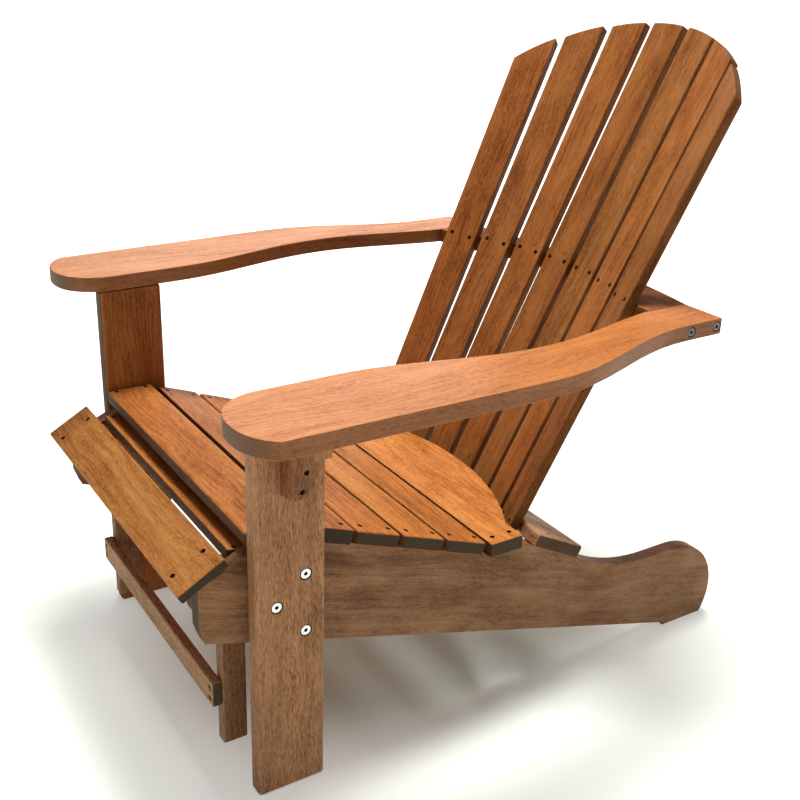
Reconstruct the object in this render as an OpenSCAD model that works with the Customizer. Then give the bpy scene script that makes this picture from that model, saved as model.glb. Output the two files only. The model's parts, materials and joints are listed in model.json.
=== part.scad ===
// Adirondack chair with a pull-out footrest.
// +Z up, the sitter faces -Y, +X is the sitter's left hand.
// Lengths along Y are worked out from the front face of the front legs, and the
// whole chair is then moved so that the origin is the bottom centre of its box.

/* [Frame] */
// Half the distance between the outer faces of the side rails
rail_outer_x = 241; // [200:1:300]
// Thickness of the side rails
rail_t = 20; // [16:1:26]
// Thickness of the front legs
leg_t = 25; // [18:1:32]
// Width of the front legs, front to back
leg_w = 94; // [86:1:120]
// Slope of the lower edge of the side rails
rail_slope = 16.6; // [16:0.1:17.5]
// Height of the nose of the side rails, at its lower corner
nose_low_z = 238.5; // [236:0.5:242]
// Radius of the round heel at the back of the side rails
heel_r = 94; // [90:1:96]

/* [Seat] */
// Thickness of the slats
slat_t = 20; // [16:1:22]
// Width of the slats
slat_w = 68; // [60:1:70]
// Half the length of the seat slats behind the legs
slat_half = 248; // [244:1:260]
// Distance from one seat slat to the next
seat_pitch = 74.5; // [72:0.5:76]
// Slope of the seat
seat_slope = 20.5; // [20:0.1:21]
// Height of the top of the front seat slat
seat_front_z = 374; // [370:1:378]
// Radius of the curved back edge of the rear seat slat
seat_curve_r = 395; // [380:1:420]

/* [Back] */
// Lean of the back from upright
back_lean = 27.5; // [26.5:0.1:28.5]
// Thickness of the back slats
back_t = 16; // [12:0.5:18]
// Radius of the hollow of the back, across the slats
back_r = 448; // [440:1:480]
// Angle between neighbouring back slats round that hollow
back_step = 8.35; // [8.2:0.05:8.8]
// Share of that angle that each slat is turned by
back_turn = 0.9; // [0.85:0.01:1]
// Angle by which each back slat spreads from its inner neighbour
fan_step = 1.2; // [1:0.05:1.4]
// Width of the back slats at the upper rail
back_w = 54; // [48:1:54]
// How much wider the back slats get for each millimetre up
back_taper = 0.0156; // [0:0.0001:0.018]
// Radius of the rounded top of the back
top_r = 303; // [290:1:320]

/* [Arms] */
// Height of the top of the arms
arm_z = 551; // [545:1:560]
// Thickness of the arms
arm_t = 22; // [18:1:26]
// Distance from the centre to the inner edge of an arm at the front
arm_inner_x = 242; // [241:1:244]
// How far the inner edge swings out along the arm
arm_swing = 42; // [30:1:46]
// Distance from the centre to the outer edge of an arm at its widest
arm_outer_x = 377.5; // [370:0.5:390]
// Distance from the centre to the outer edge of an arm at the back
arm_rear_x = 314; // [310:1:320]

/* [Footrest] */
// Slope of the footrest slats, stowed
foot_slope = 15.4; // [15:0.1:15.8]
// Slope of the front footrest slat, stowed
apron_slope = 29.3; // [28.5:0.1:30]
// Thickness of the footrest slats
foot_t = 13.5; // [12:0.5:16]
// Thickness of the footrest side rails
foot_rail_t = 14; // [12:0.5:14]
// Thickness of the footrest legs
foot_leg_t = 18; // [14:1:20]
// Height of the feet of the footrest above the floor, stowed
foot_lift = 49; // [48:1:60]
// Diameter of the steel rod that guides the footrest
rod_d = 12; // [10:0.5:12]

/* [Hidden] */

wood = [0.66, 0.40, 0.24];
wood_dark = [0.52, 0.32, 0.20];
steel = [0.80, 0.80, 0.80];
zinc = [0.35, 0.34, 0.32];
eps = 1;
reach = 500;

// Fasteners
screw_head_d = 7;
screw_d = 4;
screw_sink = 2.5;
screw_head_h = 2.5;
screw_len = 36;
short_len = 30;
fit = 0.3;
bolt_head_d = 15;
bolt_head_h = 3.5;
bolt_d = 6;
bolt_sink = 0.6;
bolt_head_gap = 1.6;
socket_d = 4.6;
socket_depth = 2;
bracket_screw_len = 52;
cleat_screw_len = 76;
screw_access = 20;
arm_bolt_head_d = 13;

// Side rails
rail_inner_x = rail_outer_x - rail_t;
rail_mid_x = rail_outer_x - rail_t / 2;
nose_y = -62;
nose_top_z = 315.5;
nose_corner_y = -55;
nose_corner_z = 259;
nose_end_y = 24;
step_gap = 2;
leg_bolt_points = [[67, 312.5], [27.7, 277], [67, 232]];
heel = [728.5, 47.5];
heel_foot = 40;
dip_r = 266;
rear_level_z = 141.4;
dip_end_y = 675;
dip_start_y = 552;

// Seat
front_slat_y = 0;
front_slat_w = 69;
seat_step_y = 73;
seat_rear_y = 354.5;
seat_rear_z = 262.3;
rear_slat_y = 362;
rear_slat_end_y = 415;
rear_slat_mid_y = 475;
rear_slat_z = 257.5;
rear_screw_ys = [375, 404];
leg_gap = 1.5;
screw_pitch = 45;
seat_drop = slat_t / cos(seat_slope);

// Back: its frame starts on the front face of the middle slat, at the upper rail
back_y = 651.8;
back_z = 554.7;
back_low = -384;
back_high = 387;
top_centre = back_high - top_r;
lower_rail_top = -365.6;
lower_rail_rear = 53.4;
lower_rail_front = -41;
lower_rail_screws = [-7, 38];
upper_rail_half = 247;
upper_rail_y = 605;
upper_rail_end_y = 671;
upper_rail_r = 1250;
upper_screw_x = 17;
lower_screw_x = 15;
lower_screw_l = -375.5;
rail_gap = 2.5;

// Arms
arm_front_y = -47.5;
arm_rear_y = 671;
arm_inner_r = 64;
arm_outer_r = 68;
arm_outer_arc_x = 316;
arm_front_x = 372.5;
swing_start_y = 120;
swing_len = 530;
taper_start_y = 335;
taper_end_y = 610;
arm_steps = 24;
arc_steps = 8;
arm_bolt_ys = [616, 663];
arm_bolt_len = 100;
bracket_y = 33;
bracket_w = 22;
bracket_low_z = 427;
bracket_edge_z = 432;
bracket_edge = 30;
bracket_out = 45;
bracket_screw_points = [[45.5, 442.5], [49, 468]];
cleat_t = 14;
cleat_w = 39;
cleat_h = 63;
cleat_screw_ys = [65, 84];
cleat_side_y = 74.5;
cleat_side_zs = [480, 514];

// Footrest
foot_slat_half = 219;
foot_slat_top_y = -13;
foot_slat_top_z = 345;
apron_y = -61;
apron_z = 336.8;
apron_half = 250;
foot_rail_x = 219.5;
foot_rail_end_y = 272;
foot_rail_depth = 67;
foot_leg_y = -20;
foot_leg_w = 33.5;
foot_leg_top = 320;
stretcher_t = 14;
stretcher_h = 36;
stretcher_z = 112;
stretcher_screw_zs = [122, 138];
foot_leg_screw_zs = [282, 304];
foot_screw_x = foot_rail_x - foot_rail_t / 2;
foot_leg_x = foot_rail_x - foot_rail_t;
foot_drop = foot_t / cos(foot_slope);
apron_drop = foot_t / cos(apron_slope);
rod_y = 255;
rod_z = 236;
rod_end_y = 10;
rod_half = 229.5;
groove_depth = 9.5;
groove_d = rod_d + 1.2;

// Box of the whole chair along Y, from the front slat of the footrest to the top of the back
front_most = apron_y - slat_w / 2 * cos(apron_slope);
rear_most = back_y + back_high * sin(back_lean) + back_t * cos(back_lean);
centre_y = (front_most + rear_most) / 2;

// Heights of the undersides that the rails follow
function seat_under(y) = seat_rear_z + (seat_rear_y - y) * tan(seat_slope) - seat_drop;
function apron_under(y) = apron_z + (y - apron_y) * tan(apron_slope) - apron_drop;
function foot_under(y) = foot_slat_top_z - (y - foot_slat_top_y) * tan(foot_slope) - foot_drop;
function lower_rail_under(y) = back_z + (lower_rail_top - slat_t) / cos(back_lean)
    - (y - back_y) * tan(back_lean);
rail_flat_z = rear_slat_z - slat_t;
flat_end_y = back_y + ((lower_rail_top - slat_t) / cos(back_lean) + back_z - rail_flat_z) / tan(back_lean);
ridge_y = (foot_slat_top_z + foot_slat_top_y * tan(foot_slope) - foot_drop
    - apron_z + apron_y * tan(apron_slope) + apron_drop) / (tan(apron_slope) + tan(foot_slope));

// Centre of the top of seat slat i: [y, z]
function seat_centre(i) =
    let (u = (5 - i) * seat_pitch + slat_w / 2)
    i == 1 ? [front_slat_y + front_slat_w / 2, seat_front_z]
    : [seat_rear_y - u * cos(seat_slope), seat_rear_z + u * sin(seat_slope)];
// Centre of the top of footrest slat i, behind the front one: [y, z]
function foot_centre(i) =
    let (u = (i - 2) * seat_pitch + slat_w / 2)
    [foot_slat_top_y + u * cos(foot_slope), foot_slat_top_z - u * sin(foot_slope)];

// Outline of an arm, seen from above
function arm_inner(y) = y < swing_start_y ? arm_inner_x
    : arm_inner_x + arm_swing * pow(sin(180 * (y - swing_start_y) / swing_len), 2);
function arm_outer(y) = y < taper_start_y
    ? arm_front_x + (arm_outer_x - arm_front_x) * max(0, y) / taper_start_y
    : y > taper_end_y ? arm_rear_x
    : (arm_outer_x + arm_rear_x) / 2 + (arm_outer_x - arm_rear_x) / 2
        * cos(180 * (y - taper_start_y) / (taper_end_y - taper_start_y));
function arc(c, r, a0, a1) = [for (k = [0 : arc_steps])
    let (a = a0 + (a1 - a0) * k / arc_steps) [c[0] + r * cos(a), c[1] + r * sin(a)]];

// Places a shape drawn in the YZ plane, with its thickness from x0 to x1
module side_board(x0, x1) {
    translate([x0, 0, 0])
        rotate([90, 0, 90])
            linear_extrude(x1 - x0)
                children();
}
module right_hand() {
    mirror([1, 0, 0]) children();
}
// Frame on the top of a slat: X along it, Z out of its top
module on_top(centre, slope) {
    translate([0, centre[0], centre[1]])
        rotate([-slope, 0, 0])
            children();
}
// Frame of the back: Z up along the middle slat, Y into it
module back_frame() {
    translate([0, back_y, back_z])
        rotate([-back_lean, 0, 0])
            children();
}
// Frame of back slat i: its front face lies in the XZ plane
module back_slat_frame(i) {
    turn = (i - 4) * back_step;
    translate([back_r * sin(turn), back_r * (cos(turn) - 1), 0])
        rotate([0, 0, -turn * back_turn])
            rotate([0, (i - 4) * fan_step, 0])
                children();
}

// A sunk wood screw pointing down from the surface at z = 0, and the hole for it
module screw(length) {
    translate([0, 0, -screw_sink - screw_head_h])
        cylinder(d = screw_head_d - fit, h = screw_head_h, $fn = 24);
    translate([0, 0, -length])
        cylinder(d = screw_d, h = length - screw_sink - eps, $fn = 16);
}
module screw_hole(length) {
    translate([0, 0, -screw_sink - screw_head_h])
        cylinder(d = screw_head_d, h = screw_sink + screw_head_h + eps, $fn = 24);
    translate([0, 0, -length - eps])
        cylinder(d = screw_d + fit, h = length + eps, $fn = 16);
}
// A bolt along -X from the surface at x = 0, and the hole for it
module bolt(head_d, length) {
    translate([-bolt_sink - bolt_head_h, 0, 0])
        rotate([0, 90, 0])
            difference() {
                cylinder(d = head_d, h = bolt_head_h, $fn = 48);
                translate([0, 0, bolt_head_h - socket_depth])
                    cylinder(d = socket_d, h = socket_depth + eps, $fn = 6);
            }
    translate([-length, 0, 0])
        rotate([0, 90, 0])
            cylinder(d = bolt_d, h = length - bolt_sink - eps, $fn = 32);
}
module bolt_hole(head_d, length) {
    translate([-bolt_sink - bolt_head_h, 0, 0])
        rotate([0, 90, 0])
            cylinder(d = head_d + bolt_head_gap, h = bolt_head_h + bolt_sink + eps, $fn = 48);
    translate([-length - eps, 0, 0])
        rotate([0, 90, 0])
            cylinder(d = bolt_d + fit, h = length + eps, $fn = 32);
}

// Where the fasteners go. Each places its children once per fastener.
module four_on_slat(x) {
    for (side = [-1, 1], row = [-1, 1])
        translate([side * x, row * screw_pitch / 2, 0])
            children();
}
module at_seat_screws(i) {
    on_top(seat_centre(i), i == 1 ? 0 : seat_slope)
        four_on_slat(rail_mid_x)
            children();
}
module at_rear_slat_screws() {
    for (side = [-1, 1], y = rear_screw_ys)
        translate([side * rail_mid_x, y, rear_slat_z])
            children();
}
module at_lower_rail_screws() {
    back_frame()
        for (side = [-1, 1], y = lower_rail_screws)
            translate([side * rail_mid_x, y, lower_rail_top])
                children();
}
module at_back_screws(i, x, l) {
    back_frame()
        back_slat_frame(i)
            for (side = [-1, 1])
                translate([side * x, 0, l])
                    rotate([90, 0, 0])
                        children();
}
module at_upper_screws(i) {
    // All at one height, so lower along the slats that stand further forward
    forward = back_r * (1 - cos((4 - i) * back_step));
    at_back_screws(i, upper_screw_x, -forward * tan(back_lean)) children();
}
module at_lower_screws(i) {
    at_back_screws(i, lower_screw_x, lower_screw_l) children();
}
module at_apron_screws() {
    on_top([apron_y, apron_z], -apron_slope)
        four_on_slat(foot_screw_x)
            children();
}
module at_foot_screws(i) {
    on_top(foot_centre(i), foot_slope)
        four_on_slat(foot_screw_x)
            children();
}
module at_stretcher_screws() {
    for (side = [-1, 1], z = stretcher_screw_zs)
        translate([side * (foot_leg_x - foot_leg_t / 2), foot_leg_y - stretcher_t, z])
            rotate([90, 0, 0])
                children();
}
module at_footrest_leg_screws() {
    for (z = foot_leg_screw_zs)
        translate([foot_leg_x - foot_leg_t, foot_leg_y + foot_leg_w / 2, z])
            rotate([0, -90, 0])
                children();
}
module at_leg_bolts() {
    for (p = leg_bolt_points)
        translate([rail_outer_x + leg_t, p[0], p[1]])
            children();
}
module at_arm_bolts() {
    for (y = arm_bolt_ys)
        translate([arm_rear_x, y, arm_z - arm_t / 2])
            children();
}
// Screws up through the cleat into the arm, and sideways through it into the leg
module at_cleat_screws() {
    x = rail_outer_x + leg_t + cleat_t / 2;
    for (y = cleat_screw_ys)
        translate([x, y, arm_z - arm_t - cleat_h])
            rotate([180, 0, 0])
                children();
}
module at_cleat_side_screws() {
    for (z = cleat_side_zs)
        translate([rail_outer_x + leg_t + cleat_t, cleat_side_y, z])
            rotate([0, 90, 0])
                children();
}
module at_bracket_screws() {
    // On the sloping outer face of the bracket
    slant = (bracket_out - bracket_edge) / (arm_z - arm_t - bracket_edge_z);
    for (p = bracket_screw_points)
        translate([rail_outer_x + leg_t + bracket_edge + slant * (p[1] - bracket_edge_z), p[0], p[1]])
            rotate([0, 90, 0])
                children();
}

// Side rail, left hand
module side_rail() {
    color(wood_dark)
        difference() {
            union() {
                side_board(rail_inner_x, rail_outer_x)
                    polygon([
                        [nose_y, nose_corner_z],
                        [nose_corner_y, nose_low_z],
                        [nose_corner_y + nose_low_z / tan(rail_slope), 0],
                        [heel[0] + heel_foot, 0],
                        [heel[0], rear_level_z],
                        [dip_end_y, rear_level_z],
                        [dip_end_y, lower_rail_under(dip_start_y)],
                        [dip_start_y, lower_rail_under(dip_start_y)],
                        [flat_end_y, rail_flat_z],
                        [rear_slat_y, rail_flat_z],
                        [seat_rear_y, seat_under(seat_rear_y)],
                        [seat_step_y, seat_under(seat_step_y)],
                        [front_slat_y + front_slat_w + step_gap, seat_front_z - slat_t],
                        [nose_end_y, seat_front_z - slat_t],
                        [nose_y, nose_top_z]]);
                // Round heel, cut level with the floor
                intersection() {
                    translate([rail_inner_x, heel[0], heel[1]])
                        rotate([0, 90, 0])
                            cylinder(r = heel_r, h = rail_t, $fn = 180);
                    translate([rail_inner_x, heel[0], 0])
                        cube([rail_t, heel_r + eps, heel_r + heel[1]]);
                }
            }
            // Hollow of the top edge between the lower back rail and the heel
            translate([rail_inner_x - eps, dip_end_y, rear_level_z + dip_r])
                rotate([0, 90, 0])
                    cylinder(r = dip_r, h = rail_t + 2 * eps, $fn = 360);
            // Groove that the guide rod of the footrest runs in
            groove();
            at_leg_bolts() bolt_hole(bolt_head_d, leg_t + rail_t + eps);
            for (i = [1 : 5])
                at_seat_screws(i) screw_hole(screw_len);
            at_rear_slat_screws() screw_hole(screw_len);
            at_lower_rail_screws() screw_hole(screw_len);
        }
}
module groove() {
    translate([rail_inner_x - eps, rod_end_y, rod_z - groove_d / 2])
        cube([groove_depth + eps, rod_y - rod_end_y, groove_d]);
    for (y = [rod_end_y, rod_y])
        translate([rail_inner_x - eps, y, rod_z])
            rotate([0, 90, 0])
                cylinder(d = groove_d, h = groove_depth + eps, $fn = 48);
}
// Front leg, left hand
module front_leg() {
    color(wood_dark)
        difference() {
            translate([rail_outer_x, 0, 0])
                cube([leg_t, leg_w, arm_z - arm_t]);
            at_leg_bolts() bolt_hole(bolt_head_d, leg_t + rail_t);
            at_bracket_screws() screw_hole(bracket_screw_len);
            at_cleat_side_screws() screw_hole(short_len);
        }
}
// Arm, left hand
module arm() {
    inner_c = [arm_inner_x + arm_inner_r, arm_front_y + arm_inner_r];
    outer_c = [arm_outer_arc_x, arm_front_y + arm_outer_r];
    outer_end = -acos((arm_front_x - arm_outer_arc_x) / arm_outer_r);
    last = upper_rail_y;
    color(wood)
        difference() {
            translate([0, 0, arm_z - arm_t])
                linear_extrude(arm_t)
                    polygon(concat(
                        arc(inner_c, arm_inner_r, 180, 270),
                        arc(outer_c, arm_outer_r, -90, outer_end),
                        [for (k = [1 : arm_steps]) let (y = taper_end_y * k / arm_steps) [arm_outer(y), y]],
                        [[arm_rear_x, arm_rear_y], [upper_rail_half, arm_rear_y], [upper_rail_half, last]],
                        [for (k = [arm_steps : -1 : 0])
                            let (y = swing_start_y + (last - swing_start_y) * k / arm_steps)
                            [arm_inner(y), y]]));
            at_arm_bolts() bolt_hole(arm_bolt_head_d, arm_bolt_len);
            at_cleat_screws() screw_hole(cleat_screw_len);
        }
}
// Bracket on the outside of the leg, under the arm, left hand
module arm_bracket() {
    x = rail_outer_x + leg_t;
    top = arm_z - arm_t;
    color(wood_dark)
        difference() {
            translate([0, bracket_y + bracket_w, 0])
                rotate([90, 0, 0])
                    linear_extrude(bracket_w)
                        polygon([
                            [x, bracket_low_z],
                            [x + bracket_edge, bracket_edge_z],
                            [x + bracket_out, top],
                            [x, top]]);
            at_bracket_screws() {
                screw_hole(bracket_screw_len);
                cylinder(d = screw_head_d, h = screw_access, $fn = 24);
            }
        }
}
// Cleat beside the bracket, left hand
module arm_cleat() {
    color(wood_dark)
        difference() {
            translate([rail_outer_x + leg_t, bracket_y + bracket_w, arm_z - arm_t - cleat_h])
                cube([cleat_t, cleat_w, cleat_h]);
            at_cleat_screws() screw_hole(cleat_screw_len);
            at_cleat_side_screws() screw_hole(short_len);
        }
}
// Seat slats: the front one fits between the legs
module seat_slat(i) {
    half = i == 1 ? rail_outer_x - eps : slat_half;
    width = i == 1 ? front_slat_w : slat_w;
    color(wood)
        difference() {
            on_top(seat_centre(i), i == 1 ? 0 : seat_slope)
                translate([-half, -width / 2, -slat_t])
                    cube([2 * half, width, slat_t]);
            at_seat_screws(i) screw_hole(screw_len);
            // The second slat is notched round the legs
            if (i == 2)
                for (side = [-1, 1])
                    translate([side * (rail_outer_x + leg_t) - leg_t, -eps, 0])
                        cube([2 * leg_t, leg_w + leg_gap, arm_z - arm_t - cleat_h]);
        }
}
// Rear seat slat, with a round back edge that follows the hollow of the back
module seat_slat_rear() {
    color(wood)
        difference() {
            union() {
                translate([-slat_half, rear_slat_y, rail_flat_z])
                    cube([2 * slat_half, rear_slat_end_y - rear_slat_y, slat_t]);
                intersection() {
                    translate([0, rear_slat_mid_y - seat_curve_r, rail_flat_z])
                        cylinder(r = seat_curve_r, h = slat_t, $fn = 360);
                    translate([-slat_half, rear_slat_y, rail_flat_z])
                        cube([2 * slat_half, rear_slat_mid_y, slat_t]);
                }
            }
            at_rear_slat_screws() screw_hole(screw_len);
        }
}
// Hollow that the back slats stand in
module back_hollow() {
    back_frame()
        translate([0, -back_r, -reach])
            cylinder(r = back_r + back_t + rail_gap, h = 2 * reach, $fn = 360);
}
// Rail across the tops of the side rails, behind the feet of the back slats
module lower_back_rail() {
    color(wood_dark)
        difference() {
            back_frame()
                translate([-slat_half, lower_rail_front, lower_rail_top - slat_t])
                    cube([2 * slat_half, lower_rail_rear - lower_rail_front, slat_t]);
            back_hollow();
            at_lower_rail_screws() screw_hole(screw_len);
            for (i = [1 : 7])
                at_lower_screws(i) screw_hole(screw_len);
        }
}
// Rail between the back ends of the arms
module upper_back_rail() {
    sag = upper_rail_r - sqrt(pow(upper_rail_r, 2) - pow(upper_rail_half, 2));
    color(wood)
        difference() {
            intersection() {
                translate([-upper_rail_half, upper_rail_y, arm_z - arm_t])
                    cube([2 * upper_rail_half, 2 * sag + upper_rail_end_y - upper_rail_y, arm_t]);
                translate([0, upper_rail_end_y + sag - upper_rail_r, arm_z - arm_t])
                    cylinder(r = upper_rail_r, h = arm_t, $fn = 720);
            }
            back_hollow();
            for (i = [1 : 7])
                at_upper_screws(i) screw_hole(screw_len);
            at_arm_bolts() bolt_hole(arm_bolt_head_d, arm_bolt_len);
            right_hand() at_arm_bolts() bolt_hole(arm_bolt_head_d, arm_bolt_len);
        }
}
// Back slats, 1 on the sitter's right to 7 on the left
module back_slat(i) {
    low_half = (back_w + back_taper * back_low) / 2;
    high_half = (back_w + back_taper * reach) / 2;
    color(wood)
        difference() {
            intersection() {
                back_frame()
                    back_slat_frame(i)
                        translate([0, back_t, 0])
                            rotate([90, 0, 0])
                                linear_extrude(back_t)
                                    polygon([
                                        [-low_half, back_low],
                                        [low_half, back_low],
                                        [high_half, reach],
                                        [-high_half, reach]]);
                back_frame() {
                    translate([0, reach / 2, top_centre])
                        rotate([90, 0, 0])
                            cylinder(r = top_r, h = reach, $fn = 360);
                    translate([-reach, -reach / 2, top_centre - 2 * reach])
                        cube([2 * reach, reach, 2 * reach]);
                }
            }
            at_upper_screws(i) screw_hole(screw_len);
            at_lower_screws(i) screw_hole(screw_len);
        }
}

// Footrest: side rail, left hand
module footrest_rail() {
    color(wood_dark)
        difference() {
            side_board(foot_rail_x - foot_rail_t, foot_rail_x)
                polygon([
                    [nose_y, foot_under(nose_y) - foot_rail_depth],
                    [foot_rail_end_y, foot_under(foot_rail_end_y) - foot_rail_depth],
                    [foot_rail_end_y, foot_under(foot_rail_end_y)],
                    [ridge_y, foot_under(ridge_y)],
                    [nose_y, apron_under(nose_y)]]);
            guide_rod(fit);
            at_footrest_leg_screws() screw_hole(short_len);
            at_apron_screws() screw_hole(short_len);
            for (i = [2 : 5])
                at_foot_screws(i) screw_hole(short_len);
        }
}
module footrest_leg() {
    color(wood_dark)
        difference() {
            translate([foot_leg_x - foot_leg_t, foot_leg_y, foot_lift])
                cube([foot_leg_t, foot_leg_w, foot_leg_top - foot_lift]);
            at_stretcher_screws() screw_hole(short_len);
            at_footrest_leg_screws() screw_hole(short_len);
        }
}
module footrest_stretcher() {
    color(wood_dark)
        difference() {
            translate([-foot_leg_x, foot_leg_y - stretcher_t, stretcher_z])
                cube([2 * foot_leg_x, stretcher_t, stretcher_h]);
            at_stretcher_screws() screw_hole(short_len);
        }
}
// Front slat of the footrest, sloping down over the noses of the side rails
module apron() {
    color(wood)
        difference() {
            on_top([apron_y, apron_z], -apron_slope)
                translate([-apron_half, -slat_w / 2, -foot_t])
                    cube([2 * apron_half, slat_w, foot_t]);
            at_apron_screws() screw_hole(short_len);
        }
}
module footrest_slat(i) {
    color(wood)
        difference() {
            on_top(foot_centre(i), foot_slope)
                translate([-foot_slat_half, -slat_w / 2, -foot_t])
                    cube([2 * foot_slat_half, slat_w, foot_t]);
            at_foot_screws(i) screw_hole(short_len);
        }
}
// Rod across the back of the footrest rails, its ends in the grooves
module guide_rod(gap) {
    translate([-rod_half, rod_y, rod_z])
        rotate([0, 90, 0])
            cylinder(d = rod_d + gap, h = 2 * rod_half, $fn = 48);
}

// Fasteners
module leg_bolts() {
    color(steel) {
        at_leg_bolts() bolt(bolt_head_d, leg_t + rail_t - eps);
        right_hand() at_leg_bolts() bolt(bolt_head_d, leg_t + rail_t - eps);
    }
}
module arm_bolts() {
    color(zinc) {
        at_arm_bolts() bolt(arm_bolt_head_d, arm_bolt_len - eps);
        right_hand() at_arm_bolts() bolt(arm_bolt_head_d, arm_bolt_len - eps);
    }
}
module bracket_screws() {
    color(zinc) {
        at_bracket_screws() screw(bracket_screw_len - eps);
        right_hand() at_bracket_screws() screw(bracket_screw_len - eps);
    }
}
module cleat_screws() {
    color(zinc) {
        at_cleat_screws() screw(cleat_screw_len - eps);
        at_cleat_side_screws() screw(short_len);
        right_hand() {
            at_cleat_screws() screw(cleat_screw_len - eps);
            at_cleat_side_screws() screw(short_len);
        }
    }
}
module seat_screws() {
    color(zinc) {
        for (i = [1 : 5])
            at_seat_screws(i) screw(screw_len);
        at_rear_slat_screws() screw(screw_len);
    }
}
module lower_rail_screws() {
    color(zinc) at_lower_rail_screws() screw(screw_len);
}
module back_screws_upper() {
    color(zinc)
        for (i = [1 : 7])
            at_upper_screws(i) screw(screw_len);
}
module back_screws_lower() {
    color(zinc)
        for (i = [1 : 7])
            at_lower_screws(i) screw(screw_len);
}
module footrest_screws() {
    color(zinc) {
        at_apron_screws() screw(short_len);
        for (i = [2 : 5])
            at_foot_screws(i) screw(short_len);
    }
}
module footrest_leg_screws() {
    color(zinc) {
        at_footrest_leg_screws() screw(short_len);
        right_hand() at_footrest_leg_screws() screw(short_len);
    }
}
module stretcher_screws() {
    color(zinc) at_stretcher_screws() screw(short_len);
}

translate([0, -centre_y, 0]) {
    side_rail();  // side_rail_left
    right_hand() side_rail();  // side_rail_right
    front_leg();  // front_leg_left
    right_hand() front_leg();  // front_leg_right
    arm();  // arm_left
    right_hand() arm();  // arm_right
    arm_bracket();  // arm_bracket_left
    right_hand() arm_bracket();  // arm_bracket_right
    arm_cleat();  // arm_cleat_left
    right_hand() arm_cleat();  // arm_cleat_right
    for (i = [1 : 5])
        seat_slat(i);
    seat_slat_rear();
    lower_back_rail();
    upper_back_rail();
    for (i = [1 : 7])
        back_slat(i);
    leg_bolts();
    arm_bolts();
    bracket_screws();
    cleat_screws();
    seat_screws();
    lower_rail_screws();
    back_screws_upper();
    back_screws_lower();
    footrest_rail();  // footrest_rail_left
    right_hand() footrest_rail();  // footrest_rail_right
    footrest_leg();  // footrest_leg_left
    right_hand() footrest_leg();  // footrest_leg_right
    footrest_stretcher();
    apron();  // footrest_slat_1
    for (i = [2 : 5])
        footrest_slat(i);
    footrest_screws();
    footrest_leg_screws();
    stretcher_screws();
    color(steel) guide_rod(0);  // footrest_guide_rod
}
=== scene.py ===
"""The looks of the adirondack chair: rounded boards, steel fasteners, a pale studio and the camera."""

import json
import math
import random

import bmesh
import bpy
import numpy as np
from mathutils import Matrix, Vector


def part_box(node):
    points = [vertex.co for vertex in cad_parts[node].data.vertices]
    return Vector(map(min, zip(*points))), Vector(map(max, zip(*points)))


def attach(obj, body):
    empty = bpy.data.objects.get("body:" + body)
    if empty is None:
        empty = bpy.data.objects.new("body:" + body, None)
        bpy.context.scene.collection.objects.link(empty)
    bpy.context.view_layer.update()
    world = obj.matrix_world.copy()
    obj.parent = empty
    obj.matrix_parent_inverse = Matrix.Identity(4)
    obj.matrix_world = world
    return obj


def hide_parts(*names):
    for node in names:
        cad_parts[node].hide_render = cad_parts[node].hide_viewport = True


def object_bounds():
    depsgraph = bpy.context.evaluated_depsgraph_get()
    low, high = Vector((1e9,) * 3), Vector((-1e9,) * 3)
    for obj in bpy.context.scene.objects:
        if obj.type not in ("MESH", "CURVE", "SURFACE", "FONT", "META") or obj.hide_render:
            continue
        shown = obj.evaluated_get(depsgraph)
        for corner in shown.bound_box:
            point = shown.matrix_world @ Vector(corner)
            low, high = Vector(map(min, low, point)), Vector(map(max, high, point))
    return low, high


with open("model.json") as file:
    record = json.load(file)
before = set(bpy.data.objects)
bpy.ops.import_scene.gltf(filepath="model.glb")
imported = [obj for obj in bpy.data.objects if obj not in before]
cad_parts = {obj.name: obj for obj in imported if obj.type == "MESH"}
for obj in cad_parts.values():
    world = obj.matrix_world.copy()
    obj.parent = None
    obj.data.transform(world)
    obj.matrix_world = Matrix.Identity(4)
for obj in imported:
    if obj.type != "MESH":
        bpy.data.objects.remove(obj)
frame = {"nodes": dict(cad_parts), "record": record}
cad_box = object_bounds()

MM = 0.001

# ---------------------------------------------------------------- geometry

FLAT_ANGLE = math.radians(0.5)   # faces closer than this in angle are one face
SHARP_ANGLE = math.radians(25)   # an edge sharper than this is an arris
HOLE_FACET = 45 * MM * MM        # facets smaller than this belong to a screw hole
ARRIS_SEGMENTS = 4


def board_axes(mesh):
    """The centre of a board and its own axes: along the grain, across it and through it."""
    centre, area = Vector(), 0.0
    for face in mesh.polygons:
        centre += face.center * face.area
        area += face.area
    centre /= area
    spread = np.zeros((3, 3))
    for face in mesh.polygons:
        arm = np.array(face.center - centre)
        spread += face.area * np.outer(arm, arm)
    _, vectors = np.linalg.eigh(spread)
    along, across = vectors[:, 2], vectors[:, 1]
    along *= np.sign(along[np.argmax(abs(along))])
    across *= np.sign(across[np.argmax(abs(across))])
    through = np.cross(along, across)
    return centre, Matrix((along, across, through))


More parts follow.
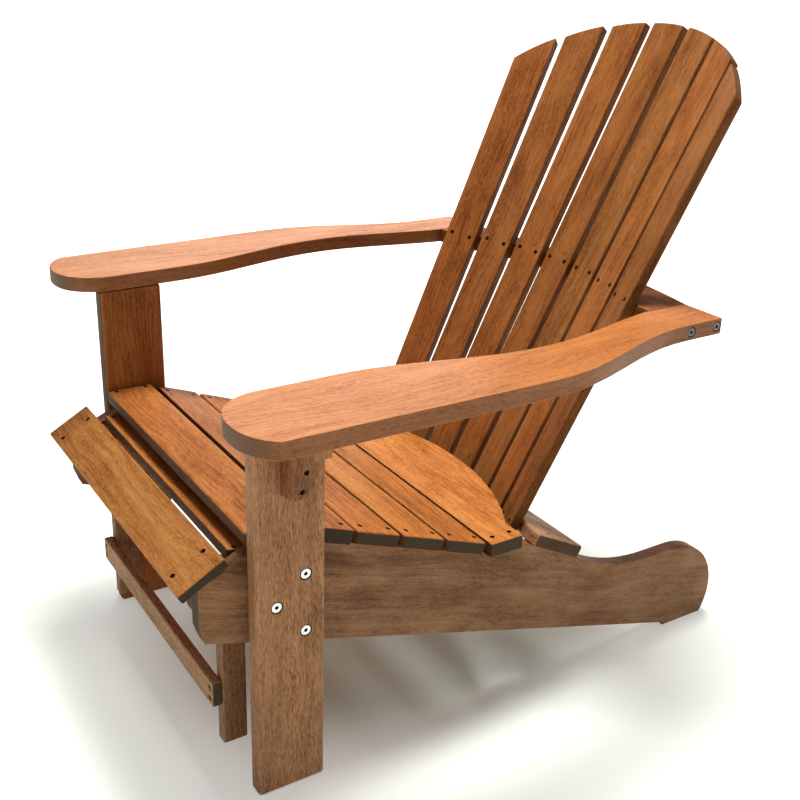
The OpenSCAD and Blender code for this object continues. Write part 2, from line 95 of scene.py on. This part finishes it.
def rounded_board(node, radius):
    """A copy of a board's CAD solid with its long edges rounded and its screw holes left crisp."""
    source = frame["nodes"][node]
    bm = bmesh.new()
    bm.from_mesh(source.data)
    bmesh.ops.remove_doubles(bm, verts=bm.verts, dist=0.01 * MM)
    bmesh.ops.dissolve_limit(bm, angle_limit=FLAT_ANGLE, verts=bm.verts, edges=bm.edges)
    bmesh.ops.recalc_face_normals(bm, faces=bm.faces)
    arrises = [
        edge for edge in bm.edges
        if len(edge.link_faces) == 2
        and edge.calc_face_angle() > SHARP_ANGLE
        and min(face.calc_area() for face in edge.link_faces) > HOLE_FACET
    ]
    arris = bm.faces.layers.float.new("arris")
    rounded = bmesh.ops.bevel(
        bm, geom=arrises, offset=radius, offset_type="OFFSET", segments=ARRIS_SEGMENTS,
        profile=0.5, affect="EDGES", clamp_overlap=True,
    )
    for face in rounded["faces"]:
        face[arris] = 1.0
    for face in bm.faces:
        face.smooth = True
    for edge in bm.edges:
        edge.smooth = len(edge.link_faces) != 2 or edge.calc_face_angle() < SHARP_ANGLE
    mesh = bpy.data.meshes.new(node + "_board")
    bm.to_mesh(mesh)
    bm.free()
    board = bpy.data.objects.new(node + "_board", mesh)
    bpy.context.scene.collection.objects.link(board)
    normals = board.modifiers.new("flat faces", "WEIGHTED_NORMAL")
    normals.keep_sharp = True
    normals.weight = 100
    return board


def loose_parts(mesh):
    """The separate solids of a node, each as an array of points."""
    bm = bmesh.new()
    bm.from_mesh(mesh)
    bmesh.ops.remove_doubles(bm, verts=bm.verts, dist=0.01 * MM)
    bm.verts.ensure_lookup_table()
    seen, parts = set(), []
    for start in bm.verts:
        if start.index in seen:
            continue
        seen.add(start.index)
        queue, points = [start], []
        while queue:
            vert = queue.pop()
            points.append(vert.co[:])
            for edge in vert.link_edges:
                other = edge.other_vert(vert)
                if other.index not in seen:
                    seen.add(other.index)
                    queue.append(other)
        parts.append(np.array(points))
    bm.free()
    return parts


def fastener_frames(node):
    """For each fastener of a node: the centre of its head's top, its outward axis, head radius and length."""
    found = []
    for points in loose_parts(frame["nodes"][node].data):
        centre = (points.max(0) + points.min(0)) / 2
        arms = points - points.mean(0)
        axis = np.linalg.svd(arms, full_matrices=False)[2][0]
        along = (points - centre) @ axis
        away = np.linalg.norm(points - centre - np.outer(along, axis), axis=1)
        if along[np.argmax(away)] < 0:
            axis, along = -axis, -along
        ends = along.max(), along.min()
        shank = points[along < ends[1] + MM]
        foot = (shank.max(0) + shank.min(0)) / 2
        middle = foot - axis * ((foot - centre) @ axis - ends[1])
        middle -= axis * ((middle - centre) @ axis)
        away = np.linalg.norm(points - middle - np.outer((points - middle) @ axis, axis), axis=1)
        top = middle + axis * ends[0]
        found.append((Vector(top), Vector(axis), float(away.max()), float(ends[0] - ends[1])))
    return found


def ring(bm, radius_at, height, turn, count):
    """A closed loop of vertices at one height, its radius a function of the angle."""
    verts = []
    for k in range(count):
        angle = 2 * math.pi * k / count
        radius = radius_at(angle)
        point = Vector((radius * math.cos(angle), radius * math.sin(angle), height))
        verts.append(bm.verts.new(turn @ point))
    return verts


def lathe(bm, rings, turn, count):
    """Joins rings of (radius or radius function, height) into one closed solid."""
    loops = []
    for radius, height in rings:
        radius_at = radius if callable(radius) else (lambda angle, r=radius: r)
        loops.append(ring(bm, radius_at, height, turn, count))
    for low, high in zip(loops, loops[1:]):
        for k in range(count):
            bm.faces.new((low[k], low[(k + 1) % count], high[(k + 1) % count], high[k]))
    bm.faces.new(reversed(loops[0]))
    bm.faces.new(loops[-1])


def hexagon(across):
    """Radius of a hexagon, measured across its flats, at each angle."""
    sector = math.pi / 3
    return lambda angle: across / 2 / math.cos((angle % sector) - sector / 2)


def cross_recess(size):
    """Radius of a cross-shaped driver recess at each angle."""
    return lambda angle: size * (0.38 + 0.62 * abs(math.cos(2 * angle)) ** 1.6)


def bolt_rings(head_r, head_h, length, shank_r, socket):
    """Flat furniture-bolt head with a rolled rim and a hexagon socket, and its plain shank."""
    rim = 0.9 * MM
    steps = [
        (shank_r * 0.85, -length), (shank_r, -length + 0.5 * MM), (shank_r, -head_h - 0.2 * MM),
        (shank_r + 0.2 * MM, -head_h), (head_r - 0.3 * MM, -head_h), (head_r, -head_h + 0.3 * MM),
        (head_r, -rim),
    ]
    for k in range(1, 6):
        turn = math.pi / 2 * k / 5
        steps.append((head_r - rim * (1 - math.cos(turn)), -rim * (1 - math.sin(turn))))
    steps += [
        (head_r * 0.62, 0.12 * MM), (socket / 2 + 1.1 * MM, 0.12 * MM),
        (hexagon(socket + 0.3 * MM), 0.0), (hexagon(socket), -0.25 * MM),
        (hexagon(socket), -1.9 * MM), (0.4 * MM, -2.2 * MM),
    ]
    return steps


def screw_rings(head_r, head_h, length, shank_r):
    """Countersunk wood screw with a cross recess and a pointed end."""
    thread = []
    pitch, depth = 1.9 * MM, 0.35 * MM
    turns = int((length * 0.6) / pitch)
    for k in range(turns):
        low = -length + 4 * MM + k * pitch
        thread += [
            (shank_r - depth, low), (shank_r, low + 0.45 * pitch), (shank_r - depth, low + 0.9 * pitch),
        ]
    return [
        (0.15 * MM, -length), (shank_r - depth, -length + 3.6 * MM), *thread,
        (shank_r * 0.8, -head_h), (head_r * 0.96, -0.5 * MM),
        (head_r, -0.3 * MM), (head_r * 0.97, -0.05 * MM),
        (head_r * 0.9, 0.0), (cross_recess(head_r * 0.66), -0.02 * MM),
        (cross_recess(head_r * 0.6), -0.3 * MM), (cross_recess(head_r * 0.36), -1.6 * MM),
        (0.1 * MM, -1.9 * MM),
    ]


def fasteners(node, rings_for, count, bright_ring):
    """All of a node's fasteners as one piece, each lathed on the axis that the CAD gives it.

    The part of a head between the two radii of bright_ring takes the first material; the rest takes the
    second, dark one: partly dark steel, partly painted shade of the gap round the head and of the socket.
    """
    bm = bmesh.new()
    for top, axis, head_r, length in fastener_frames(node):
        turn = Matrix.Translation(top) @ axis.to_track_quat("Z", "Y").to_matrix().to_4x4()
        before = len(bm.faces)
        lathe(bm, rings_for(head_r, length), turn, count)
        bm.faces.ensure_lookup_table()
        back = turn.inverted()
        for face in bm.faces[before:]:
            place = back @ face.calc_center_median()
            plated = bright_ring[0] < place.xy.length < bright_ring[1] * head_r and place.z > -1.0 * MM
            face.material_index = 0 if plated else 1
    bmesh.ops.recalc_face_normals(bm, faces=bm.faces)
    for face in bm.faces:
        face.smooth = True
    for edge in bm.edges:
        edge.smooth = edge.calc_face_angle(0) < math.radians(35)
    mesh = bpy.data.meshes.new(node + "_set")
    bm.to_mesh(mesh)
    bm.free()
    piece = bpy.data.objects.new(node + "_set", mesh)
    bpy.context.scene.collection.objects.link(piece)
    return piece


# ---------------------------------------------------------------- materials


class Nodes:
    """A short way to write a node material."""

    def __init__(self, name):
        self.material = bpy.data.materials.new(name)
        self.material.use_nodes = True
        self.tree = self.material.node_tree
        self.shader = self.tree.nodes["Principled BSDF"]

    def add(self, kind, inputs=None, **settings):
        node = self.tree.nodes.new("ShaderNode" + kind)
        for name, value in settings.items():
            setattr(node, name, value)
        for name, value in (inputs or {}).items():
            self.set(node.inputs[name], value)
        return node

    def set(self, socket, value):
        if isinstance(value, bpy.types.NodeSocket):
            self.tree.links.new(value, socket)
        else:
            socket.default_value = value

    def math(self, operation, a, b=0.0, clamp=False):
        return self.add("Math", {0: a, 1: b}, operation=operation, use_clamp=clamp).outputs[0]

    def vector(self, operation, a, b, out="Vector"):
        return self.add("VectorMath", {0: a, 1: b}, operation=operation).outputs[out]

    def mix(self, factor, a, b, blend="MIX"):
        node = self.add("Mix", data_type="RGBA", blend_type=blend)
        self.set(node.inputs["Factor"], factor)
        self.set(node.inputs["A"], a)
        self.set(node.inputs["B"], b)
        return node.outputs["Result"]

    def remap(self, value, low, high, to_low=0.0, to_high=1.0, kind="LINEAR"):
        node = self.add("MapRange", interpolation_type=kind)
        for name, number in zip(("From Min", "From Max", "To Min", "To Max"), (low, high, to_low, to_high)):
            node.inputs[name].default_value = number
        self.set(node.inputs["Value"], value)
        return node.outputs["Result"]

    def ramp(self, value, stops, colours):
        node = self.add("ValToRGB")
        elements = node.color_ramp.elements
        while len(elements) < len(stops):
            elements.new(0.5)
        for element, stop, colour in zip(elements, stops, colours):
            element.position = stop
            element.color = colour
        self.set(node.inputs["Fac"], value)
        return node.outputs["Color"]

    def noise(self, vector, stretch, detail=3.0, rough=0.5, distortion=0.0):
        """Noise whose cells are 1 / stretch metres long on each axis."""
        scaled = self.vector("MULTIPLY", vector, stretch)
        node = self.add("TexNoise", {
            "Scale": 1.0, "Detail": detail, "Roughness": rough, "Distortion": distortion,
        })
        self.set(node.inputs["Vector"], scaled)
        return node.outputs["Fac"]


def rgb(red, green, blue, scale=1.0):
    return (red * scale, green * scale, blue * scale, 1.0)


# Linear colours of the wood from pore to lightest figure, the weight of each layer of grain (rings,
# streaks, lines, flecks, fibre, clouds), the gloss of the oil finish, how much darker the narrow edges are
# (partly edge grain, partly painted shade), and the colour of the end grain
TONES = {
    "arm": {
        "ramp": ((0.22, 0.050, 0.008), (0.44, 0.138, 0.028), (0.55, 0.190, 0.044), (0.66, 0.255, 0.070)),
        "grain": (0.10, 0.14, 0.24, 0.48, 0.20, 0.26), "rough": 0.42, "specular": 0.28, "edge": 0.43,
        "end": (0.120, 0.060, 0.029),
    },
    "slat": {
        "ramp": ((0.15, 0.032, 0.005), (0.33, 0.099, 0.017), (0.46, 0.158, 0.033), (0.60, 0.230, 0.058)),
        "grain": (0.12, 0.20, 0.36, 0.42, 0.18, 0.24), "rough": 0.55, "specular": 0.14, "edge": 0.20,
        "end": (0.046, 0.030, 0.018),
    },
    "back": {
        "ramp": ((0.10, 0.024, 0.004), (0.22, 0.067, 0.014), (0.32, 0.108, 0.025), (0.43, 0.163, 0.043)),
        "grain": (0.10, 0.18, 0.30, 0.42, 0.18, 0.32), "rough": 0.58, "specular": 0.10, "edge": 0.58,
        "end": (0.150, 0.072, 0.036),
    },
    "frame": {
        "ramp": ((0.11, 0.038, 0.012), (0.24, 0.108, 0.045), (0.37, 0.178, 0.078), (0.51, 0.268, 0.128)),
        "grain": (0.06, 0.12, 0.34, 0.62, 0.26, 0.28), "rough": 0.56, "specular": 0.16, "edge": 0.88,
        "end": (0.046, 0.030, 0.018),
    },
    "rail": {
        "ramp": ((0.09, 0.033, 0.012), (0.18, 0.082, 0.034), (0.28, 0.134, 0.059), (0.40, 0.206, 0.098)),
        "grain": (0.08, 0.16, 0.26, 0.32, 0.20, 0.42), "rough": 0.56, "specular": 0.16, "edge": 0.88,
        "end": (0.046, 0.030, 0.018),
    },
}
# Shade and warmth of boards that differ from their neighbours. Mostly this is the board's own tone, but the
# darker footrest legs are painted shade under the overhang, the dark red far front leg is painted shade with
# warm bounce light, and the paler rear seat slat is painted light
BOARDS = {
    "arm_left": (1.08, 0.04), "arm_right": (1.0, 0.02), "seat_slat_1": (1.0, 0.05), "seat_slat_2": (0.9, 0.0),
    "seat_slat_3": (1.08, 0.02), "seat_slat_4": (1.10, -0.02), "seat_slat_5": (1.10, -0.04),
    "seat_slat_rear": (1.31, -0.05), "footrest_leg_left": (0.68, 0.0), "footrest_leg_right": (0.68, 0.0),
    "footrest_slat_1": (0.96, -0.16), "back_slat_1": (1.06, 0.08), "back_slat_2": (1.02, 0.0),
    "back_slat_3": (1.10, 0.02), "back_slat_4": (0.99, 0.0), "back_slat_5": (1.06, -0.12),
    "back_slat_6": (1.12, 0.02), "back_slat_7": (0.92, -0.06), "front_leg_left": (0.98, 0.03),
    "front_leg_right": (0.55, 0.12), "side_rail_left": (0.88, 0.02), "arm_bracket_left": (0.70, 0.20),
}
RAMP_STOPS = (0.04, 0.34, 0.58, 0.92)


def wood(node, tone, axes, rng):
    """Oiled hardwood cut along the board's own axes. Each board gets its own figure, streaks and shade."""
    n = Nodes(node + "_wood")
    finish = TONES[tone]
    shade, warmth = rng.uniform(0.92, 1.08), rng.uniform(-0.07, 0.07)
    shade, warmth = BOARDS.get(node, (shade, warmth))
    shift = [rng.uniform(-8, 8) for _ in range(3)]
    pith = (rng.uniform(-0.03, 0.03), rng.uniform(0.04, 0.10) * rng.choice((-1, 1)))
    ring_gap = rng.uniform(0.0050, 0.0095)

    def tinted(colour, scale=1.0):
        level = scale * shade
        red, green, blue = colour
        return rgb(red * (1 + 0.3 * warmth), green * (1 - 0.4 * warmth), blue * (1 - warmth), level)

    turn = n.add("Mapping", {"Vector": n.add("TexCoord").outputs["Object"]}, vector_type="POINT")
    turn.inputs["Rotation"].default_value = axes.to_euler("XYZ")
    board = turn.outputs["Vector"]
    own = n.vector("ADD", board, shift)

    # The grain wanders a few millimetres across the board as it runs along it
    slow = n.vector("MULTIPLY", own, (3.5, 12.0, 12.0))
    drift = n.add("TexNoise", {"Vector": slow, "Scale": 1.0, "Detail": 2.0})
    offset = n.vector("SUBTRACT", drift.outputs["Color"], (0.5, 0.5, 0.5))
    lean = n.vector("MULTIPLY", offset, (0.0, 0.05, 0.05))
    own = n.vector("ADD", own, lean)
    curved = n.vector("ADD", board, lean)

    # Growth rings: the distance from a pith outside the board
    split = n.add("SeparateXYZ", {"Vector": curved})
    side = n.math("ADD", split.outputs["Y"], pith[0])
    depth = n.math("ADD", split.outputs["Z"], pith[1])
    across = n.add("CombineXYZ", {"X": side, "Y": depth, "Z": 0.0}).outputs["Vector"]
    radius = n.vector("LENGTH", across, (0, 0, 0), out="Value")
    rings = n.math("SINE", n.math("MULTIPLY", radius, 2 * math.pi / ring_gap))

    # Wide soft bands, streaks along the grain, short flecks, and hair-fine fibre
    bands = n.noise(own, (1.8, 22.0, 22.0), 4.0, 0.55, 0.6)
    streaks = n.noise(own, (5.0, 130.0, 130.0), 4.0, 0.62)
    lines = n.noise(own, (16.0, 520.0, 520.0), 3.0, 0.6)
    flecks = n.noise(own, (110.0, 1050.0, 1050.0), 2.0, 0.6)
    fibre = n.noise(own, (260.0, 2600.0, 2600.0), 2.0, 0.6)
    clouds = n.noise(own, (13.0, 26.0, 26.0), 4.0, 0.6)

    level = n.remap(bands, 0.3, 0.7, 0.36, 0.72)
    layers = (
        (rings, -1.0, 1.0), (streaks, 0.3, 0.7), (lines, 0.3, 0.7),
        (flecks, 0.3, 0.7), (fibre, 0.3, 0.7), (clouds, 0.3, 0.7),
    )
    for (layer, low, high), weight in zip(layers, finish["grain"]):
        level = n.math("ADD", level, n.remap(layer, low, high, -weight / 2, weight / 2))
    pores = n.remap(flecks, 0.36, 0.27, 0.0, 1.0)
    level = n.math("SUBTRACT", level, n.math("MULTIPLY", pores, 0.3), clamp=True)
    colour = n.ramp(level, RAMP_STOPS, [tinted(stop) for stop in finish["ramp"]])

    # Arrises are a little paler, in patches: partly wear, partly a painted highlight where the rounded edges
    # catch the light
    arris = n.add("Attribute", attribute_name="arris").outputs["Fac"]
    worn = n.math("MULTIPLY", arris, n.remap(n.noise(own, (60.0, 60.0, 60.0), 3.0, 0.6), 0.4, 0.7, 0.0, 0.32))
    colour = n.mix(worn, colour, tinted(finish["ramp"][3], 1.08))

    # The narrow edges of a board are darker than its faces: partly darker edge grain, partly painted shade of
    # the sides and of the gaps between boards
    normal = n.add("TexCoord").outputs["Normal"]
    facing = n.math("ABSOLUTE", n.vector("DOT_PRODUCT", normal, tuple(axes[2]), out="Value"))
    edge = n.remap(facing, 0.25, 0.65, finish["edge"], 1.0, kind="SMOOTHSTEP")
    colour = n.mix(1.0, colour, edge, blend="MULTIPLY")

    # End grain drinks more oil, so it is darker and greyer
    facing = n.math("ABSOLUTE", n.vector("DOT_PRODUCT", normal, tuple(axes[0]), out="Value"))
    end = n.remap(facing, 0.55, 0.93, 0.0, 0.9, kind="SMOOTHSTEP")
    dots = n.noise(own, (900.0, 900.0, 900.0), 2.0, 0.6)
    end_colour = n.mix(n.remap(dots, 0.35, 0.65), tinted(finish["end"], 0.7), tinted(finish["end"], 1.4))
    colour = n.mix(end, colour, end_colour)
    n.set(n.shader.inputs["Base Color"], colour)

    rough = n.remap(level, 0.2, 0.8, finish["rough"] + 0.10, finish["rough"] - 0.05)
    rough = n.math("ADD", rough, n.math("MULTIPLY", end, 0.2), clamp=True)
    n.set(n.shader.inputs["Roughness"], rough)
    n.shader.inputs["Specular IOR Level"].default_value = finish["specular"]

    relief = n.math("SUBTRACT", n.math("ADD", fibre, lines), n.math("MULTIPLY", pores, 0.8))
    bump = n.add("Bump", {"Strength": 0.45, "Distance": 0.25 * MM, "Height": relief})
    n.set(n.shader.inputs["Normal"], bump.outputs["Normal"])
    return n.material


def metal(name, colour, rough, stain, brushed):
    """Plated or plain steel with fine scratches, cloudy patches and some grime."""
    n = Nodes(name)
    place = n.add("TexCoord").outputs["Object"]
    cloud = n.noise(place, (300.0, 300.0, 300.0), 4.0, 0.6)
    scratch = n.noise(place, brushed, 2.0, 0.6)
    patches = n.remap(cloud, 0.45, 0.7, 0.0, 0.7)
    n.set(n.shader.inputs["Base Color"], n.mix(patches, rgb(*colour), rgb(*stain)))
    wear = n.math("ADD", cloud, scratch)
    n.set(n.shader.inputs["Roughness"], n.remap(wear, 0.7, 1.3, rough - 0.08, rough + 0.14))
    n.shader.inputs["Metallic"].default_value = 1.0
    bump = n.add("Bump", {"Strength": 0.2, "Distance": 0.05 * MM, "Height": scratch})
    n.set(n.shader.inputs["Normal"], bump.outputs["Normal"])
    return n.material


# ---------------------------------------------------------------- the chair

SLOTS = {part["node"]: part["material_slot"] for part in frame["record"]["subparts"]}
BODY_OF = {node: body for body, nodes in frame["record"]["behaviour"]["bodies"].items() for node in nodes}


def tone_of(node):
    if node.startswith("arm_l") or node.startswith("arm_r"):
        return "arm"
    if node.startswith("back_slat") or node == "upper_back_rail":
        return "back"
    if node.startswith("side_rail"):
        return "rail"
    # The far front leg takes the darker, redder slat wood: painted shade, with the warm bounce light it gets
    # from the seat
    if node == "front_leg_right":
        return "slat"
    return "slat" if SLOTS[node] == "slat_wood" else "frame"


def arris_of(node):
    """Rounding of a board's edges."""
    if "bracket" in node or "cleat" in node:
        return 1.8 * MM
    if node.startswith("footrest"):
        return 2.6 * MM
    if node.startswith("back_slat"):
        return 2.8 * MM
    if node == "seat_slat_rear":
        return 6.0 * MM
    if node.startswith("seat_slat"):
        return 4.5 * MM
    if node.startswith("front_leg"):
        return 5.2 * MM
    return 3.2 * MM if tone_of(node) == "arm" else 4.0 * MM


def stand_for(piece, node):
    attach(piece, BODY_OF[node])
    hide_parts(node)


def make_boards():
    for node in sorted(SLOTS):
        if not SLOTS[node].endswith("_wood"):
            continue
        rng = random.Random(node)
        _, axes = board_axes(frame["nodes"][node].data)
        board = rounded_board(node, arris_of(node))
        board.data.materials.clear()
        board.data.materials.append(wood(node, tone_of(node), axes, rng))
        stand_for(board, node)


def make_fasteners():
    plated = metal("plated_bolt", (0.93, 0.93, 0.92), 0.42, (0.80, 0.80, 0.78), (60.0, 2500.0, 2500.0))
    worn = metal("worn_bolt", (0.17, 0.16, 0.15), 0.34, (0.07, 0.06, 0.05), (60.0, 2500.0, 2500.0))
    # blackened_steel_and_shade is partly dark steel, partly painted shade: it fills the gap round each bolt
    # head, the sockets and recesses, and covers the bracket screws in their dark holes
    black = metal(
        "blackened_steel_and_shade", (0.030, 0.027, 0.024), 0.55, (0.012, 0.010, 0.009), (800.0, 800.0, 800.0))
    dark = metal("dark_screw", (0.13, 0.105, 0.085), 0.42, (0.035, 0.025, 0.018), (800.0, 800.0, 800.0))
    for node, finish in (("leg_bolts", plated), ("arm_bolts", worn)):
        rings = lambda head_r, length: bolt_rings(head_r, 3.5 * MM, length, 3 * MM, 4.6 * MM)
        piece = fasteners(node, rings, 48, (2.3 * MM, 0.88))
        piece.data.materials.append(finish)
        piece.data.materials.append(black)
        stand_for(piece, node)
    for node in sorted(SLOTS):
        if SLOTS[node] != "screw_steel":
            continue
        rings = lambda head_r, length: screw_rings(head_r, 2.5 * MM, length, 2 * MM)
        piece = fasteners(node, rings, 24, (1.6 * MM, 0.93))
        piece.data.materials.append(black if node == "bracket_screws" else dark)
        piece.data.materials.append(black)
        stand_for(piece, node)


def make_rod():
    """Steel rod with chamfered ends that guides the footrest."""
    low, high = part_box("footrest_guide_rod")
    centre, radius, half = (low + high) / 2, (high.z - low.z) / 2, (high.x - low.x) / 2
    chamfer = 1 * MM
    turn = Matrix.Translation(centre) @ Matrix.Rotation(math.pi / 2, 4, "Y")
    bm = bmesh.new()
    rings = [
        (radius - chamfer, -half), (radius, -half + chamfer),
        (radius, half - chamfer), (radius - chamfer, half),
    ]
    lathe(bm, rings, turn, 48)
    bmesh.ops.recalc_face_normals(bm, faces=bm.faces)
    for face in bm.faces:
        face.smooth = len(face.verts) == 4
    mesh = bpy.data.meshes.new("guide_rod")
    bm.to_mesh(mesh)
    bm.free()
    rod = bpy.data.objects.new("guide_rod", mesh)
    bpy.context.scene.collection.objects.link(rod)
    steel = metal("rod_steel", (0.62, 0.62, 0.62), 0.32, (0.5, 0.49, 0.47), (40.0, 2200.0, 2200.0))
    mesh.materials.append(steel)
    stand_for(rod, "footrest_guide_rod")


# ---------------------------------------------------------------- the studio


CAMERA_PLACE = (1.25464, -0.84323, 1.02539)
CAMERA_ANGLES = (59.368, 22.770, 0.860)   # azimuth, elevation and roll, in degrees
CAMERA_LENS = 49.47
CAMERA_SHIFT = (0.06675, -0.01556)


def make_camera():
    """The camera of the reference view, from the sitter's front left."""
    azimuth, elevation, roll = (math.radians(angle) for angle in CAMERA_ANGLES)
    back = Vector((
        math.sin(azimuth) * math.cos(elevation),
        -math.cos(azimuth) * math.cos(elevation),
        math.sin(elevation),
    ))
    right = Vector((0, 0, 1)).cross(back).normalized()
    up = back.cross(right)
    turned_right = right * math.cos(roll) + up * math.sin(roll)
    turned_up = up * math.cos(roll) - right * math.sin(roll)
    data = bpy.data.cameras.new("camera")
    data.sensor_width = 36.0
    data.lens = CAMERA_LENS
    data.shift_x, data.shift_y = CAMERA_SHIFT
    data.clip_end = 200.0
    camera = bpy.data.objects.new("camera", data)
    basis = Matrix((turned_right, turned_up, back)).transposed().to_4x4()
    camera.matrix_world = Matrix.Translation(CAMERA_PLACE) @ basis
    bpy.context.scene.collection.objects.link(camera)
    bpy.context.scene.camera = camera


def make_floor():
    """A plain white floor that runs to the horizon. It glows, as painted light: from just outside the chair's
    footprint the glow lifts the chair's shadow, and far off it keeps the floor white.
    """
    half = 60.0
    mesh = bpy.data.meshes.new("floor")
    corners = [(-half, -half, 0), (half, -half, 0), (half, half, 0), (-half, half, 0)]
    mesh.from_pydata(corners, [], [(0, 1, 2, 3)])
    floor = bpy.data.objects.new("floor", mesh)
    bpy.context.scene.collection.objects.link(floor)
    n = Nodes("floor_paint")
    n.shader.inputs["Base Color"].default_value = (0.87, 0.93, 0.83, 1.0)
    n.shader.inputs["Roughness"].default_value = 0.8
    n.shader.inputs["Specular IOR Level"].default_value = 0.1
    n.shader.inputs["Emission Color"].default_value = (1.0, 1.0, 1.0, 1.0)
    footprint = (1 / cad_box[1].x, 1 / cad_box[1].y, 0.0)
    place = n.vector("MULTIPLY", n.add("TexCoord").outputs["Object"], footprint)
    away = n.vector("LENGTH", place, (0, 0, 0), out="Value")
    # Painted light: this glow starts just outside the chair's footprint and lifts the chair's shadow there
    near = n.remap(away, 0.52, 1.05, 0.0, 0.34, kind="SMOOTHSTEP")
    far = n.remap(away, 2.5, 8.0, 0.0, 0.8, kind="SMOOTHSTEP")
    n.set(n.shader.inputs["Emission Strength"], n.math("ADD", near, far))
    mesh.materials.append(n.material)


def make_light(name, place, target, size, power, colour=(1.0, 1.0, 1.0)):
    data = bpy.data.lights.new(name, "AREA")
    data.shape = "RECTANGLE"
    data.size, data.size_y = size
    data.energy = power
    data.color = colour
    light = bpy.data.objects.new(name, data)
    light.location = place
    light.rotation_euler = (Vector(target) - Vector(place)).to_track_quat("-Z", "Y").to_euler()
    bpy.context.scene.collection.objects.link(light)


def make_studio():
    """A white room: bright near the horizon, a soft key from high up and a low white wall."""
    world = bpy.data.worlds.new("studio")
    bpy.context.scene.world = world
    world.use_nodes = True
    tree = world.node_tree
    direction = tree.nodes.new("ShaderNodeTexCoord")
    height = tree.nodes.new("ShaderNodeSeparateXYZ")
    glow = tree.nodes.new("ShaderNodeMapRange")
    for name, number in zip(("From Min", "From Max", "To Min", "To Max"), (0.02, 0.15, 1.0, 0.28)):
        glow.inputs[name].default_value = number
    background = tree.nodes["Background"]
    background.inputs["Color"].default_value = (1.0, 1.0, 1.0, 1.0)
    tree.links.new(direction.outputs["Generated"], height.inputs["Vector"])
    tree.links.new(height.outputs["Z"], glow.inputs["Value"])
    tree.links.new(glow.outputs["Result"], background.inputs["Strength"])
    make_light("key", (-0.7, 0.5, 4.5), (0, 0, 0.3), (1.3, 1.3), 190)
    make_light("wall", (-3.2, 1.5, 1.7), (0, 0, 0.5), (2.6, 1.8), 32)
    bpy.context.scene.view_settings.view_transform = "Standard"


make_camera()
make_studio()
make_floor()
make_boards()
make_fasteners()
make_rod()
